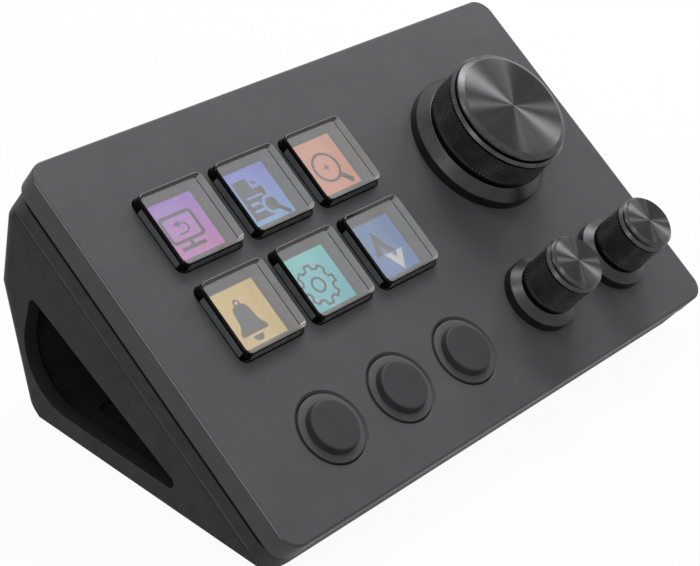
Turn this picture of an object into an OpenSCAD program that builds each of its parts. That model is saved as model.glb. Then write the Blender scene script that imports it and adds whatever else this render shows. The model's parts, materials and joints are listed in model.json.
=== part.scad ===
// Macro keypad: a wedge-shaped desk unit with six display keys, three round
// buttons, one large dial and two small knobs. Millimetres, +Z up, +Y to the back,
// standing on its feet at z = 0 with the origin below the middle of the unit.

/* [Top plate] */
// Width of the plate, left to right
plate_w = 134; // [132:1:150]
// Length of the plate along its slope
plate_d = 83.3; // [82.5:0.1:92]
// Slope of the plate above the desk, degrees
tilt = 31.7; // [29:0.1:34]
// Thickness of the plate
plate_t = 2; // [1.8:0.1:2.2]
// Corner radius of the plate, seen square on
plate_corner_r = 4; // [3.5:0.1:6]
// Radius of the plate's top edge
plate_edge_r = 0.5; // [0.3:0.1:1]
// Depth of the plate's skirt below its top face
skirt_h = 5.3; // [4.5:0.1:5.8]
// Thickness of the skirt
skirt_t = 1.8; // [1.4:0.1:2]

/* [Shell] */
// Height of the plate's front edge above the shell's base
front_h = 9.05; // [9:0.05:11]
// Shadow gap between the plate's skirt and the shell's rim
seam_gap = 0.75; // [0.5:0.05:1]
// Height of the flush band below the rim
band_h = 3.2; // [2.5:0.1:4.5]
// How far the side walls stand in below the band
wall_step = 1.05; // [0.6:0.05:1.3]
// Height of the soft step between band and side wall
step_h = 2; // [1.6:0.1:2.6]
// Corner radius of the shell, seen square on to the plate
shell_corner_r = 6.2; // [5:0.1:8]
// Thickness of the shell's walls
shell_t = 2.2; // [1.8:0.1:2.4]
// Thickness of the tongue that centres the plate
tongue_t = 1.1; // [0.9:0.1:1.3]
// Thickness of the side walls round the tunnel
lip_t = 3; // [2.4:0.1:3.6]
// Thickness of the shell's floor round the base cover
floor_t = 3.2; // [3:0.1:3.6]
// Depth of the tray floor below the plate's top face
tray_depth = 13.8; // [13.6:0.1:14.6]
// Thickness of the tray floor
tray_t = 2; // [1.6:0.1:2.4]

/* [Back wall] */
// Height of the back wall that stands square to the plate
back_wall_h = 12.8; // [12:0.1:14]
// Drop from the foot of that wall to the widest point of the back
back_drop = 16.8; // [15:0.1:18]
// How far the widest point stands behind the foot of that wall
back_bulge = 1.3; // [0.8:0.1:3]
// How far the heel stands in front of the widest point
heel_in = 7.8; // [6:0.1:9]
// Height of the heel above the base
heel_rise = 4.05; // [3.5:0.05:6]
// Length of the slope under the heel
heel_run = 5.8; // [5:0.1:8]
// Radius of the upright edges at the back
back_edge_r = 3; // [2:0.1:4]

/* [Side window] */
// Height of the rail below the window
rail_h = 4.35; // [4:0.05:5.5]
// Distance from the plate's front edge to the window's tip
window_tip = 25.3; // [24:0.1:28]
// Slope of the window's upper edge, degrees
window_slope = 26.2; // [25:0.1:27]
// Distance from the widest point of the back to the window's upper corner
window_back = 9.4; // [8.5:0.1:11]
// Forward lean of the window's back edge, degrees
window_lean = 8.7; // [5:0.1:11]
// Radius of the window's tip and upper corner
window_r = 1.3; // [0.8:0.1:1.6]
// Radius of the window's lower back corner
window_heel_r = 12.4; // [8:0.1:13]

/* [Keys] */
// Distance from the plate's left edge to the first column of keys and buttons
column_left = 23.6; // [23.4:0.1:26]
// Spacing of the columns
column_pitch = 19.5; // [19.5:0.1:20.4]
// Distance from the plate's front edge to the front row of keys
key_row_front = 41.1; // [40.6:0.1:42]
// Spacing of the key rows
key_row_pitch = 20; // [19.6:0.1:20.6]
// Width of a key's top
key_top_w = 14.9; // [14.4:0.1:15]
// Depth of a key's top
key_top_d = 15.9; // [15.4:0.1:16]
// Height of a key above the plate
key_h = 3.4; // [3:0.1:5]
// Draft of a key's walls on each side
key_draft = 0.4; // [0.2:0.05:0.45]
// Corner radius of a key
key_corner_r = 1.5; // [1.2:0.1:1.9]
// Depth of the lens below the key's rim
lens_recess = 0.5; // [0.3:0.05:0.7]
// Travel of a key
key_travel = 0.8; // [0.5:0.1:0.8]

/* [Buttons] */
// Distance from the plate's front edge to the row of buttons
button_row = 15.3; // [15:0.1:16.4]
// Radius of a button's hole in the plate
button_hole_r = 7.2; // [6.8:0.1:7.3]
// Radius of a button's raised cap at its foot
button_cap_r = 5.4; // [4.5:0.1:5.8]
// Height of a button's raised cap
button_cap_h = 1.45; // [1:0.05:2.5]
// Travel of a button
button_travel = 0.7; // [0.4:0.1:0.7]

/* [Dial and knobs] */
// Distance from the plate's right edge to the dial
dial_right = 32.13; // [31:0.1:34]
// Distance from the plate's front edge to the dial
dial_row = 52.33; // [50:0.1:54]
// Distance from the plate's front edge to the small knobs
knob_row = 17.47; // [17:0.1:18.5]
// Spacing of the two small knobs
knob_pitch = 25.82; // [22:0.1:26.2]
// Height of the dial and knobs above the plate
knob_top = 14.57; // [14:0.1:17]
// Radius of the dial's grip
dial_r = 13.95; // [12.5:0.05:14.5]
// Radius of a small knob's grip
knob_r = 6.3; // [6:0.05:7]
// Radius of the dial's collar at the plate
dial_collar_r = 16.1; // [15.9:0.05:17]
// Radius of a small knob's collar at the plate
knob_collar_r = 8.2; // [8:0.05:8.8]
// Travel of the dial and knobs when they are pressed
knob_travel = 0.4; // [0.2:0.1:0.4]

/* [Feet] */
// Radius of a foot
foot_r = 4; // [3:0.1:4.5]
// Height of a foot below the base
foot_h = 0.8; // [0.5:0.1:2]

/* [Hidden] */
$fn = 72;
hull_fn = 32;
key_columns = 3;
key_rows = 2;

// clearances
tongue_fit = 0.3;
lid_fit = 0.15;
key_fit = 0.25;
stop_gap = 0.2;
spigot_fit = 0.1;
shaft_fit = 0.05;
seat_fit = 0.03;
press_gap = 0.1;
board_gap = 0.5;

// side view of the shell, as [y, z] from the plate's front top edge
function on_slope(along, out) = [
  along * cos(tilt) - out * sin(tilt),
  along * sin(tilt) + out * cos(tilt)
];
wall_foot = on_slope(plate_d, -back_wall_h);
bulge = [wall_foot.x + back_bulge, wall_foot.y - back_drop];
heel = [bulge.x - heel_in, heel_rise - front_h];
base_back = heel.x - heel_run;
side_view = [
  [0, 0],
  [front_h * tan(tilt), -front_h],
  [base_back, -front_h],
  heel,
  bulge,
  wall_foot,
  on_slope(plate_d, 0)
];
side_view_r = [0.4, 1.2, 3, 3, 5, 8, 0.4];

// levels on the plate's own axis, 0 at its top face and negative below
rim = -(skirt_h + seam_gap);
step_top = rim - band_h;
split = step_top - step_h;
tongue_top = -(plate_t + 1.4);
tray_top = -tray_depth;
tray_under = tray_top - tray_t;
key_flange_top = -(plate_t + stop_gap);
key_flange_t = 0.6;
key_bottom = key_flange_top - key_flange_t;
pad_top = key_bottom - key_travel - 0.05;
pad_h = 0.15;
membrane_t = 0.3;
key_board_top = pad_top - pad_h - membrane_t;
key_board_t = 0.8;
screen_top = key_board_top - key_board_t - press_gap;
screen_t = 2.2;
bracket_t = 0.6;
bracket_floor = screen_top - screen_t - press_gap;
main_board_top = bracket_floor - bracket_t - 0.4;
main_board_t = 1.6;
main_board_under = main_board_top - main_board_t;
lens_bottom = screen_top + press_gap + key_travel;

// plan of the plate
left_edge = -plate_w / 2;
right_edge = plate_w / 2;
rim_wall = skirt_t + tongue_fit + tongue_t;
tunnel_half = right_edge - wall_step - lip_t;
function column_x(c) = left_edge + column_left + c * column_pitch;
function row_y(r) = key_row_front + (key_rows - 1 - r) * key_row_pitch;
// keys are counted from the back left
function key_at(i) = [column_x(i % key_columns), row_y(floor(i / key_columns))];
keys_last = key_columns * key_rows - 1;
keys_mid = (key_at(0) + key_at(keys_last)) / 2;

// keys
key_foot_w = 0.5;
key_foot_d = 0.2;
key_foot_h = 1.3;
key_plug_w = key_top_w + 2 * (key_draft + key_foot_w);
key_plug_d = key_top_d + 2 * (key_draft + key_foot_d);
key_window = [key_plug_w + 2 * key_fit, key_plug_d + 2 * key_fit];
key_window_r = key_corner_r + key_fit;
key_flange = key_window + [1.3, 1.1];
key_edge = 0.22;
lens_size = [key_top_w - 0.8, key_top_d - 0.8];
lens_r = key_corner_r - 0.4;
lens_shoulder = 0.45;
lens_bevel = 0.5;
board_window = lens_size + [2 * lens_shoulder + 0.8, 2 * lens_shoulder + 0.8];
rim_flat = 0.1;

// buttons
button_disc_r = button_hole_r - key_fit;
button_flange_r = button_hole_r + 0.8;
button_flange_t = 0.7;
button_stem_r = 2;
button_lip = 0.5;
button_stem_bottom = key_flange_top - button_flange_t - 0.4;
switch_w = 6;
plunger_top = button_stem_bottom - button_travel - press_gap;
plunger_r = 1.7;
switch_top = plunger_top - 0.5;

// dial (0), left knob (1) and right knob (2)
dial_x = right_edge - dial_right;
function knob_at(k) = k == 0 ? [dial_x, dial_row] : [dial_x + (k == 1 ? -1 : 1) * knob_pitch / 2, knob_row];
function grip_r(k) = k == 0 ? dial_r : knob_r;
function collar_r(k) = k == 0 ? dial_collar_r : knob_collar_r;
function collar_wall_h(k) = k == 0 ? 2.1 : 1.98;
function collar_top(k) = k == 0 ? 4.2 : 3.3;
function collar_bore(k) = k == 0 ? dial_r - 1.35 : knob_r - 1.2;
function spigot_r(k) = k == 0 ? dial_r + 0.45 : knob_r + 0.3;
function grip_bottom(k) = collar_top(k) + knob_travel + 0.2;
function disc_r(k) = grip_r(k) - (k == 0 ? 0.78 : 0.28);
function disc_face_r(k) = disc_r(k) - (k == 0 ? 1.35 : 0.65);
function neck_r(k) = disc_r(k) - (k == 0 ? 0.6 : 0.4);
function skirt_r(k) = k == 0 ? dial_r - 1.85 : 4.4;
function skirt_top(k) = k == 0 ? knob_top - 3 : grip_bottom(k) + 1.6;
spigot_h = plate_t - 0.1;
rim_top = knob_top - 1.57;
neck_top = knob_top - 1.07;
disc_edge = knob_top - 0.57;
hub_r = 5;
rib_t = 1.2;
disc_pin_r = 2;
disc_pin_h = 0.8;

// encoders
case_w = 12;
case_top = -(plate_t + stop_gap);
case_wall = 0.8;
encoder_base_t = 1;
shaft_r = 3;
shaft_flat = 1.5;
shaft_top = neck_top - disc_pin_h - 1.2;
bush_r = 3.6;
bush_top = 2.6;
key_shaft_r = 2;
key_shaft_flat = 1.2;
rotor_r = case_w / 2 - case_wall - 0.2;
rotor_t = 1.3;
rotor_top = case_top - case_wall - 0.2;
shaft_bottom = rotor_top - rotor_t - 0.4;
detents = 20;

// screws
screw_r = 1;
screw_fit = 0.05;
screw_clear_r = 1.4;
head_r = 2.2;
head_h = 1.5;
case_boss_r = 3;
board_boss_r = 2.5;
panel_boss_r = 2.1;
case_screw_len = 6;
board_screw_len = 4;
panel_screw_len = 2.6;
case_inset = 9;
case_screws_at = [
  [left_edge + case_inset, 22],
  [right_edge - case_inset, 22],
  [left_edge + case_inset, plate_d - case_inset],
  [right_edge - case_inset, plate_d - case_inset]
];
board_left = left_edge + 8.5;
board_screws_at = [
  [board_left, 30.5],
  [board_left, 60],
  [column_x(2) + 15.2, 9],
  [column_x(2) + 17.8, plate_d - case_inset],
  [right_edge - 8, 34]
];
panel_w = key_flange.x + 2 * column_pitch + 5.4;
panel_d = key_flange.y + key_row_pitch + 11;
panel_x = panel_w / 2 - 6.4;
panel_y = panel_d / 2 - 2.6;
panel_mid = keys_mid + [1.2, 0];
panel_screws_at = [for (i = [-1, 1], j = [-1, 1]) keys_mid + [i * panel_x, j * panel_y]];
screen_size = [panel_w - 5, key_window.y + key_row_pitch - 1.6];

// base cover and feet
cover_t = 2;
cover_ledge = 1.5;
cover_front = 21.5;
cover_back = base_back - 5;
cover_half = tunnel_half - cover_ledge - 1.4;
cover_r = 4;
cover_top = cover_t - front_h;
tunnel_front = cover_front + cover_ledge;
cover_screw_x = 40;
cover_screw_front = cover_front + 4.6;
cover_screw_back = cover_back - 4.5;
cover_screw_len = 4.2;
boss_block = 8;
boss_block_h = 4;
foot_x = right_edge - 13;
foot_front = 15.5;
foot_back = cover_back - 6.5;
foot_sunk = 0.6;

// cable socket
socket_w = 8.94;
socket_h = 3.2;
socket_t = 0.3;
socket_len = 8.3;
socket_tongue = [6.6, 0.7];
socket_at = [0, main_board_under - socket_h / 2];
socket_back = plate_d - 0.4;
port_fit = 0.25;

// the part's own frame
back_mid = corner_mid(side_view, side_view_r, 4);
deepest = back_mid.x + side_view_r[4];
frontmost = plate_edge_r * (cos(tilt) + sin(tilt) - 1);
front_y = -(deepest + frontmost) / 2;
front_z = front_h + foot_h;

knob_names = ["dial", "left", "right"];

// ---- helpers ----

function unit(p) = p / norm(p);
function toward(pts, i, step) = unit(pts[(i + step + len(pts)) % len(pts)] - pts[i]);
function half_angle(pts, i) = acos(toward(pts, i, -1) * toward(pts, i, 1)) / 2;
function corner_cut(pts, r, i) = r[i] / tan(half_angle(pts, i));
// centre of the arc that rounds corner i
function corner_mid(pts, r, i) =
  pts[i] + unit(toward(pts, i, -1) + toward(pts, i, 1)) * r[i] / sin(half_angle(pts, i));

// convex outline with a true arc of radius r[i] at each corner
module rounded_poly(pts, r) {
  polygon([for (i = [0:len(pts) - 1])
    each r[i] > 0
      ? [pts[i] + toward(pts, i, -1) * corner_cut(pts, r, i), pts[i] + toward(pts, i, 1) * corner_cut(pts, r, i)]
      : [pts[i]]]);
  for (i = [0:len(pts) - 1])
    if (r[i] > 0)
      translate(corner_mid(pts, r, i)) circle(r = r[i]);
}

// corners of a convex outline (listed anticlockwise) with every edge moved in by d
function inset_corner(pts, i, d) =
  let (a = toward(pts, i, -1), b = toward(pts, i, 1))
  pts[i] + unit(a + b) * d / sin(half_angle(pts, i));
function inset(pts, d) = [for (i = [0:len(pts) - 1]) inset_corner(pts, i, d)];

module rounded_rect(size, r) {
  square([size.x - 2 * r, size.y], center = true);
  square([size.x, size.y - 2 * r], center = true);
  for (i = [-1, 1], j = [-1, 1])
    translate([i * (size.x / 2 - r), j * (size.y / 2 - r)]) circle(r = r);
}

module slab(size, r, low, high) {
  translate([0, 0, low]) linear_extrude(high - low) rounded_rect(size, r);
}

// rounded rectangle of the plate's plan, moved in by d on every side
module plan_slab(d, r, low, high) {
  translate([0, plate_d / 2, 0]) slab([plate_w - 2 * d, plate_d - 2 * d], r, low, high);
}

// places children that are drawn on the plate: x right, y up the slope, z out
module on_plate() {
  translate([0, front_y, front_z]) rotate([tilt, 0, 0]) children();
}

// places children that are drawn from the plate's front top edge, z up
module from_edge() {
  translate([0, front_y, front_z]) children();
}

// side-view outline swept across the unit
module across(width) {
  rotate([90, 0, 90]) linear_extrude(width, center = true) children();
}

module at(places) {
  for (p = places) translate([p.x, p.y, 0]) children();
}

// ---- top plate ----

module edge_profile(width) {
  translate([-width / 2, -skirt_h]) square([width, skirt_h - plate_edge_r]);
  translate([plate_edge_r - width / 2, -skirt_h]) square([width - 2 * plate_edge_r, skirt_h]);
  for (s = [-1, 1])
    translate([s * (width / 2 - plate_edge_r), -plate_edge_r]) circle(r = plate_edge_r);
}

module corner_profile() {
  translate([0, -skirt_h]) square([plate_corner_r, skirt_h - plate_edge_r]);
  translate([0, -skirt_h]) square([plate_corner_r - plate_edge_r, skirt_h]);
  translate([plate_corner_r - plate_edge_r, -plate_edge_r]) circle(r = plate_edge_r);
}

module plate_block() {
  translate([0, plate_d / 2, 0]) {
    rotate([90, 0, 0]) linear_extrude(plate_d - 2 * plate_corner_r, center = true) edge_profile(plate_w);
    rotate([90, 0, 90]) linear_extrude(plate_w - 2 * plate_corner_r, center = true) edge_profile(plate_d);
    for (i = [-1, 1], j = [-1, 1])
      translate([i * (plate_w / 2 - plate_corner_r), j * (plate_d / 2 - plate_corner_r), 0])
        rotate_extrude() corner_profile();
  }
}

module boss(r, end) {
  translate([0, 0, end]) cylinder(r = r, h = -end - plate_t / 2);
}

module pilot(end, depth) {
  translate([0, 0, end - 1]) cylinder(r = screw_r + screw_fit, h = depth + 1);
}

module top_plate() {
  color("#4b4b4d") on_plate() difference() {
    union() {
      difference() {
        plate_block();
        plan_slab(skirt_t, plate_corner_r - skirt_t + 0.2, -skirt_h - 1, -plate_t);
      }
      at(case_screws_at) boss(case_boss_r, tray_top);
      at(board_screws_at) boss(board_boss_r, main_board_top);
      at(panel_screws_at) boss(panel_boss_r, key_board_top);
    }
    for (i = [0:keys_last])
      translate(key_at(i)) slab(key_window, key_window_r, -plate_t - 1, 1);
    for (c = [0:key_columns - 1])
      translate([column_x(c), button_row, 0]) {
        translate([0, 0, -plate_t - 1]) cylinder(r = button_hole_r, h = plate_t + 2);
        translate([0, 0, -button_lip]) cylinder(r1 = button_hole_r, r2 = button_hole_r + 2 * button_lip,
                                                h = 2 * button_lip);
      }
    for (k = [0:2])
      translate(knob_at(k)) translate([0, 0, -plate_t - 1])
        cylinder(r = spigot_r(k) + spigot_fit, h = plate_t + 2);
    at(case_screws_at) pilot(tray_top, case_screw_len);
    at(board_screws_at) pilot(main_board_top, board_screw_len);
    at(panel_screws_at) pilot(key_board_top, 1.6);
  }
}

// ---- shell ----

// cross-section of the sides: flush band above, wall standing in below
module side_section() {
  turn = 2 * atan(wall_step / step_h);
  r = step_h / (2 * sin(turn));
  for (s = [0, 1]) mirror([s, 0])
    difference() {
      union() {
        polygon([
          [0, 5],
          [right_edge, 5],
          [right_edge, step_top],
          [right_edge - wall_step / 2, step_top - step_h / 2],
          [right_edge - wall_step, split],
          [right_edge - wall_step, -plate_d],
          [0, -plate_d]
        ]);
        translate([right_edge - r, step_top]) circle(r = r);
      }
      translate([right_edge - wall_step + r, split]) circle(r = r);
    }
}

// long block whose back face lies on the wall from a to b, with round upright edges
module upright_edges(a, b) {
  rise = atan2(b.y - a.y, b.x - a.x);
  half = right_edge - wall_step;
  reach = 2 * plate_d;
  translate([0, a.x, a.y]) rotate([rise - 90, 0, 0]) translate([0, 0, -reach]) linear_extrude(2 * reach) {
    translate([-half, -reach]) square([2 * half, reach - back_edge_r]);
    translate([back_edge_r - half, -reach]) square([2 * (half - back_edge_r), reach]);
    for (s = [-1, 1]) translate([s * (half - back_edge_r), -back_edge_r]) circle(r = back_edge_r);
  }
}

module base_edges() {
  r = 1.3;
  half = right_edge - wall_step + 0.35;
  rotate([-90, 0, 0]) linear_extrude(2 * plate_d, center = true) {
    translate([-half, -plate_d]) square([2 * half, plate_d + front_h - r]);
    translate([r - half, -plate_d]) square([2 * (half - r), plate_d + front_h]);
    for (s = [-1, 1]) translate([s * (half - r), front_h - r]) circle(r = r);
  }
}

// solid outer form of the shell, drawn from the plate's front top edge
module shell_form() {
  intersection() {
    across(plate_w) rounded_poly(side_view, side_view_r);
    rotate([tilt, 0, 0]) plan_slab(0, shell_corner_r, split, rim);
    rotate([tilt, 0, 0]) rotate([90, 0, 0]) linear_extrude(4 * plate_d, center = true) side_section();
  }
  intersection() {
    across(2 * (right_edge - wall_step)) rounded_poly(side_view, side_view_r);
    rotate([tilt, 0, 0]) plan_slab(0, shell_corner_r, -plate_d, split);
    upright_edges(heel, bulge);
    upright_edges(bulge, wall_foot);
    base_edges();
  }
}

module inner_view() {
  rounded_poly(inset(side_view, shell_t), [for (r = side_view_r) max(r - shell_t, 0.8)]);
}

// room for the electronics above the tray floor
module electronics_room() {
  intersection() {
    across(plate_w) inner_view();
    rotate([tilt, 0, 0]) plan_slab(rim_wall, shell_corner_r - rim_wall, tray_top, 1);
  }
}

// room below the tray floor, open to both side windows
module tunnel_room() {
  low = on_slope(-plate_d, tray_under);
  high = on_slope(2 * plate_d, tray_under);
  across(2 * tunnel_half) intersection() {
    inner_view();
    translate([tunnel_front, floor_t - front_h]) square([plate_d, plate_d]);
    polygon([low, [high.x, low.y - plate_d], high]);
  }
}

module window_outline() {
  rail = rail_h - front_h;
  corner_y = bulge.x - window_back;
  corner_z = rail + (corner_y - window_tip) * tan(window_slope);
  rounded_poly(
    [[window_tip, rail], [corner_y + (corner_z - rail) * tan(window_lean), rail], [corner_y, corner_z]],
    [window_r, window_heel_r, window_r]
  );
}

module cover_outline(grow) {
  mid = (cover_front + cover_back) / 2;
  translate([0, mid]) rounded_rect([2 * (cover_half + grow), cover_back - cover_front + 2 * grow], cover_r + grow);
}

module stadium(w, h) {
  rounded_rect([w, h], h / 2 - 0.01);
}

module along_slope(low, high) {
  translate([0, high, 0]) rotate([90, 0, 0]) linear_extrude(high - low) children();
}

module shell() {
  color("#3a3a3c") from_edge() difference() {
    union() {
      difference() {
        shell_form();
        tunnel_room();
      }
      // tongue that stands inside the plate's skirt
      rotate([tilt, 0, 0]) difference() {
        plan_slab(skirt_t + tongue_fit, shell_corner_r - skirt_t - tongue_fit, rim - 1, tongue_top);
        plan_slab(rim_wall, shell_corner_r - rim_wall, rim - 2, 0);
      }
      // screw seats for the base cover
      intersection() {
        across(2 * tunnel_half) rounded_poly(side_view, side_view_r);
        for (s = [-1, 1]) {
          translate([s * cover_screw_x, cover_screw_front, cover_top]) cylinder(r = boss_block / 2, h = floor_t * 2);
          translate([s * cover_screw_x - boss_block / 2, cover_screw_back - boss_block / 2, cover_top])
            cube([boss_block, plate_d, boss_block_h]);
        }
      }
    }
    electronics_room();
    across(2 * plate_w) window_outline();
    // opening for the base cover, and the ledge that it seats on
    translate([0, 0, -front_h - 1]) linear_extrude(cover_t + 1) cover_outline(0);
    difference() {
      translate([0, 0, -front_h]) linear_extrude(floor_t + 0.01) cover_outline(-cover_ledge);
      for (s = [-1, 1]) {
        translate([s * cover_screw_x, cover_screw_front, -front_h]) cylinder(r = boss_block / 2, h = 2 * floor_t);
        translate([s * cover_screw_x - boss_block / 2, cover_screw_back - boss_block / 2, -front_h])
          cube([boss_block, plate_d, boss_block_h + cover_t]);
      }
    }
    for (s = [-1, 1], y = [cover_screw_front, cover_screw_back])
      translate([s * cover_screw_x, y, cover_top - 1]) cylinder(r = screw_r + screw_fit, h = cover_screw_len);
    for (s = [-1, 1])
      translate([s * foot_x, foot_front, -front_h - 1]) cylinder(r = foot_r + lid_fit, h = foot_sunk + 1);
    rotate([tilt, 0, 0]) {
      at(case_screws_at) translate([0, 0, tray_under - 1]) cylinder(r = screw_clear_r, h = tray_t + 2);
      translate([socket_at.x, 0, socket_at.y]) along_slope(plate_d - rim_wall - 1, plate_d + 5)
        stadium(socket_w + 2 * port_fit, socket_h + 2 * port_fit);
    }
  }
}

module base_cover() {
  color("#2c2c2e") from_edge() difference() {
    union() {
      translate([0, 0, -front_h]) linear_extrude(cover_t) cover_outline(-lid_fit);
      // stiffening ribs
      for (i = [-2:2])
        translate([i * 18 - 0.5, cover_front + 9, cover_top - 0.1]) cube([1, cover_back - cover_front - 20, 0.7]);
    }
    for (s = [-1, 1], y = [cover_screw_front, cover_screw_back])
      translate([s * cover_screw_x, y, -front_h - 1]) {
        cylinder(r = screw_clear_r, h = cover_t + 2);
        cylinder(r = head_r + 0.3, h = head_h + 1);
      }
    for (s = [-1, 1])
      translate([s * foot_x, foot_back, -front_h - 1]) cylinder(r = foot_r + lid_fit, h = foot_sunk + 1);
  }
}

module feet() {
  edge = 0.4;
  color("#1c1c1d") from_edge()
    for (s = [-1, 1], y = [foot_front, foot_back])
      translate([s * foot_x, y, -front_h]) rotate_extrude()
        rounded_poly([[0, -foot_h], [foot_r, -foot_h], [foot_r, foot_sunk], [0, foot_sunk]], [0, edge, 0, 0]);
}

// ---- screws ----

// round-headed screw along +Z, with the underside of its head at z = 0
module screw(length) {
  difference() {
    union() {
      cylinder(r = screw_r, h = length);
      rotate_extrude()
        rounded_poly([[0, -head_h], [head_r, -head_h], [head_r, 0], [0, 0]], [0, 0.6, 0, 0]);
    }
    for (a = [0, 90]) rotate(a) translate([-1.3, -0.25, -head_h - 1]) cube([2.6, 0.5, 1.7]);
  }
}

module case_screws() {
  color("silver") on_plate() at(case_screws_at) translate([0, 0, tray_under]) screw(tray_t + case_screw_len - 0.5);
}

module cover_screws() {
  color("silver") from_edge()
    for (s = [-1, 1], y = [cover_screw_front, cover_screw_back])
      translate([s * cover_screw_x, y, head_h - front_h]) screw(cover_screw_len - 0.8);
}

module board_screws() {
  color("silver") on_plate() at(board_screws_at) translate([0, 0, main_board_under])
    screw(main_board_t + board_screw_len - 0.5);
}

module panel_screws() {
  color("silver") on_plate() at(panel_screws_at)
    translate([0, 0, key_board_top - key_board_t - bracket_t]) screw(panel_screw_len);
}

// ---- electronics ----

module key_board() {
  color("darkgreen") on_plate() difference() {
    translate(panel_mid) slab([panel_w, panel_d], 1, key_board_top - key_board_t, key_board_top);
    for (i = [0:keys_last])
      translate(key_at(i)) slab(board_window, lens_r, key_board_top - 2, key_board_top + 1);
    at(panel_screws_at) translate([0, 0, key_board_top - 2]) cylinder(r = screw_clear_r, h = 3);
  }
}

module key_membrane() {
  pad = board_window + [1.4, 1.4];
  color("#d8d8d8") on_plate() difference() {
    union() {
      translate(keys_mid)
        slab([key_flange.x + 2 * column_pitch, key_flange.y + key_row_pitch], 1.5, key_board_top,
             key_board_top + membrane_t);
      for (i = [0:keys_last])
        translate(key_at(i)) slab(pad, lens_r + 0.7, key_board_top, pad_top);
    }
    for (i = [0:keys_last])
      translate(key_at(i)) slab(board_window, lens_r, key_board_top - 1, pad_top + 1);
  }
}

module screen_panel() {
  color("black") on_plate()
    translate(keys_mid) slab(screen_size, 0.8, screen_top - screen_t, screen_top);
}

// folded tray that holds the display panel up against the key board
module screen_bracket() {
  inner = screen_size.y + 0.6;
  flange_top = key_board_top - key_board_t;
  color("lightgray") on_plate() difference() {
    translate([panel_mid.x, keys_mid.y, 0]) rotate([90, 0, 90]) linear_extrude(panel_w, center = true) {
      translate([-inner / 2 - bracket_t, bracket_floor - bracket_t]) square([inner + 2 * bracket_t, bracket_t]);
      for (s = [0, 1]) mirror([s, 0]) {
        translate([inner / 2, bracket_floor - bracket_t])
          square([bracket_t, flange_top - bracket_floor + bracket_t]);
        translate([inner / 2, flange_top - bracket_t]) square([panel_d / 2 - inner / 2, bracket_t]);
      }
    }
    at(panel_screws_at) translate([0, 0, flange_top - 2]) cylinder(r = screw_clear_r, h = 3);
  }
}

flex_w = 20;
flex_t = 0.3;
flex_x = keys_mid.x + screen_size.x / 2;
flex_out = 5.4;
flex_level = screen_top - 1;

module screen_flex() {
  bend = 0.8;
  low = main_board_top + 1;
  color("peru") on_plate() translate([0, keys_mid.y, 0]) rotate([90, 0, 0]) linear_extrude(flex_w, center = true) {
    translate([flex_x, flex_level - flex_t]) square([flex_out - bend, flex_t]);
    translate([flex_x + flex_out - flex_t, low]) square([flex_t, flex_level - bend - low]);
    intersection() {
      translate([flex_x + flex_out - bend, flex_level - bend]) difference() {
        circle(r = bend);
        circle(r = bend - flex_t);
      }
      translate([flex_x + flex_out - bend, flex_level - bend]) square(bend);
    }
  }
}

module main_board() {
  inner = rim_wall + board_gap;
  front = 6.2;
  size = [plate_w - 2 * inner, plate_d - inner - front];
  color("darkgreen") on_plate() difference() {
    translate([0, front + size.y / 2, 0]) slab(size, 2, main_board_under, main_board_top);
    at(board_screws_at) translate([0, 0, main_board_under - 1]) cylinder(r = screw_clear_r, h = main_board_t + 2);
    at(case_screws_at) translate([0, 0, main_board_under - 1]) cylinder(r = case_boss_r + 0.4, h = main_board_t + 2);
  }
}

// chips under the board and the socket of the flexible strip above it
module board_chips() {
  color("#202020") on_plate() {
    for (chip = [[-20, 40, 10, 10], [4, 46, 7, 7], [-36, 56, 6, 5], [22, 30, 5, 4], [-8, 24, 4, 6]])
      translate([chip[0] - chip[2] / 2, chip[1] - chip[3] / 2, main_board_under - 1.2])
        cube([chip[2], chip[3], 1.2]);
    translate([flex_x + flex_out - 1.2, keys_mid.y - flex_w / 2 - 1, main_board_top]) cube([2.4, flex_w + 2, 1]);
  }
}

module cable_socket() {
  color("silver") on_plate() translate([socket_at.x, 0, socket_at.y]) difference() {
    union() {
      difference() {
        along_slope(socket_back - socket_len, socket_back) stadium(socket_w, socket_h);
        along_slope(socket_back - socket_len + 1, socket_back + 1)
          stadium(socket_w - 2 * socket_t, socket_h - 2 * socket_t);
      }
      along_slope(socket_back - socket_len + 0.5, socket_back - 0.8) square(socket_tongue, center = true);
    }
  }
}

module button_switches() {
  color("#303030") on_plate() for (c = [0:key_columns - 1]) translate([column_x(c), button_row, 0]) {
    slab([switch_w, switch_w], 0.4, main_board_top, switch_top);
    translate([0, 0, switch_top - 0.1]) cylinder(r = plunger_r, h = plunger_top - switch_top + 0.1);
  }
}

// ---- encoders ----

// round section with one flat, for a keyed shaft and its bores
module keyed(r, flat, grow) {
  intersection() {
    circle(r = r + grow);
    translate([-2 * r, -2 * r]) square([4 * r, 2 * r + flat + grow]);
  }
}

module encoder_bases() {
  color("#26221c") on_plate() for (k = [0:2]) translate(knob_at(k))
    difference() {
      slab([case_w, case_w], 0.5, main_board_top, main_board_top + encoder_base_t);
      translate([0, 0, main_board_top + encoder_base_t - 0.4]) cylinder(r = 2.6, h = 1);
    }
}

module encoder_cases() {
  base = main_board_top + encoder_base_t;
  color("silver") on_plate() for (k = [0:2]) translate(knob_at(k))
    difference() {
      union() {
        slab([case_w, case_w], 0.5, base, case_top);
        translate([0, 0, case_top - 0.1]) cylinder(r = bush_r, h = bush_top - case_top + 0.1);
      }
      translate([0, 0, base - 1]) cylinder(r = rotor_r + 0.2, h = case_top - case_wall - base + 1);
      translate([0, 0, base]) cylinder(r = shaft_r + shaft_fit, h = bush_top - base + 1);
    }
}

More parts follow.
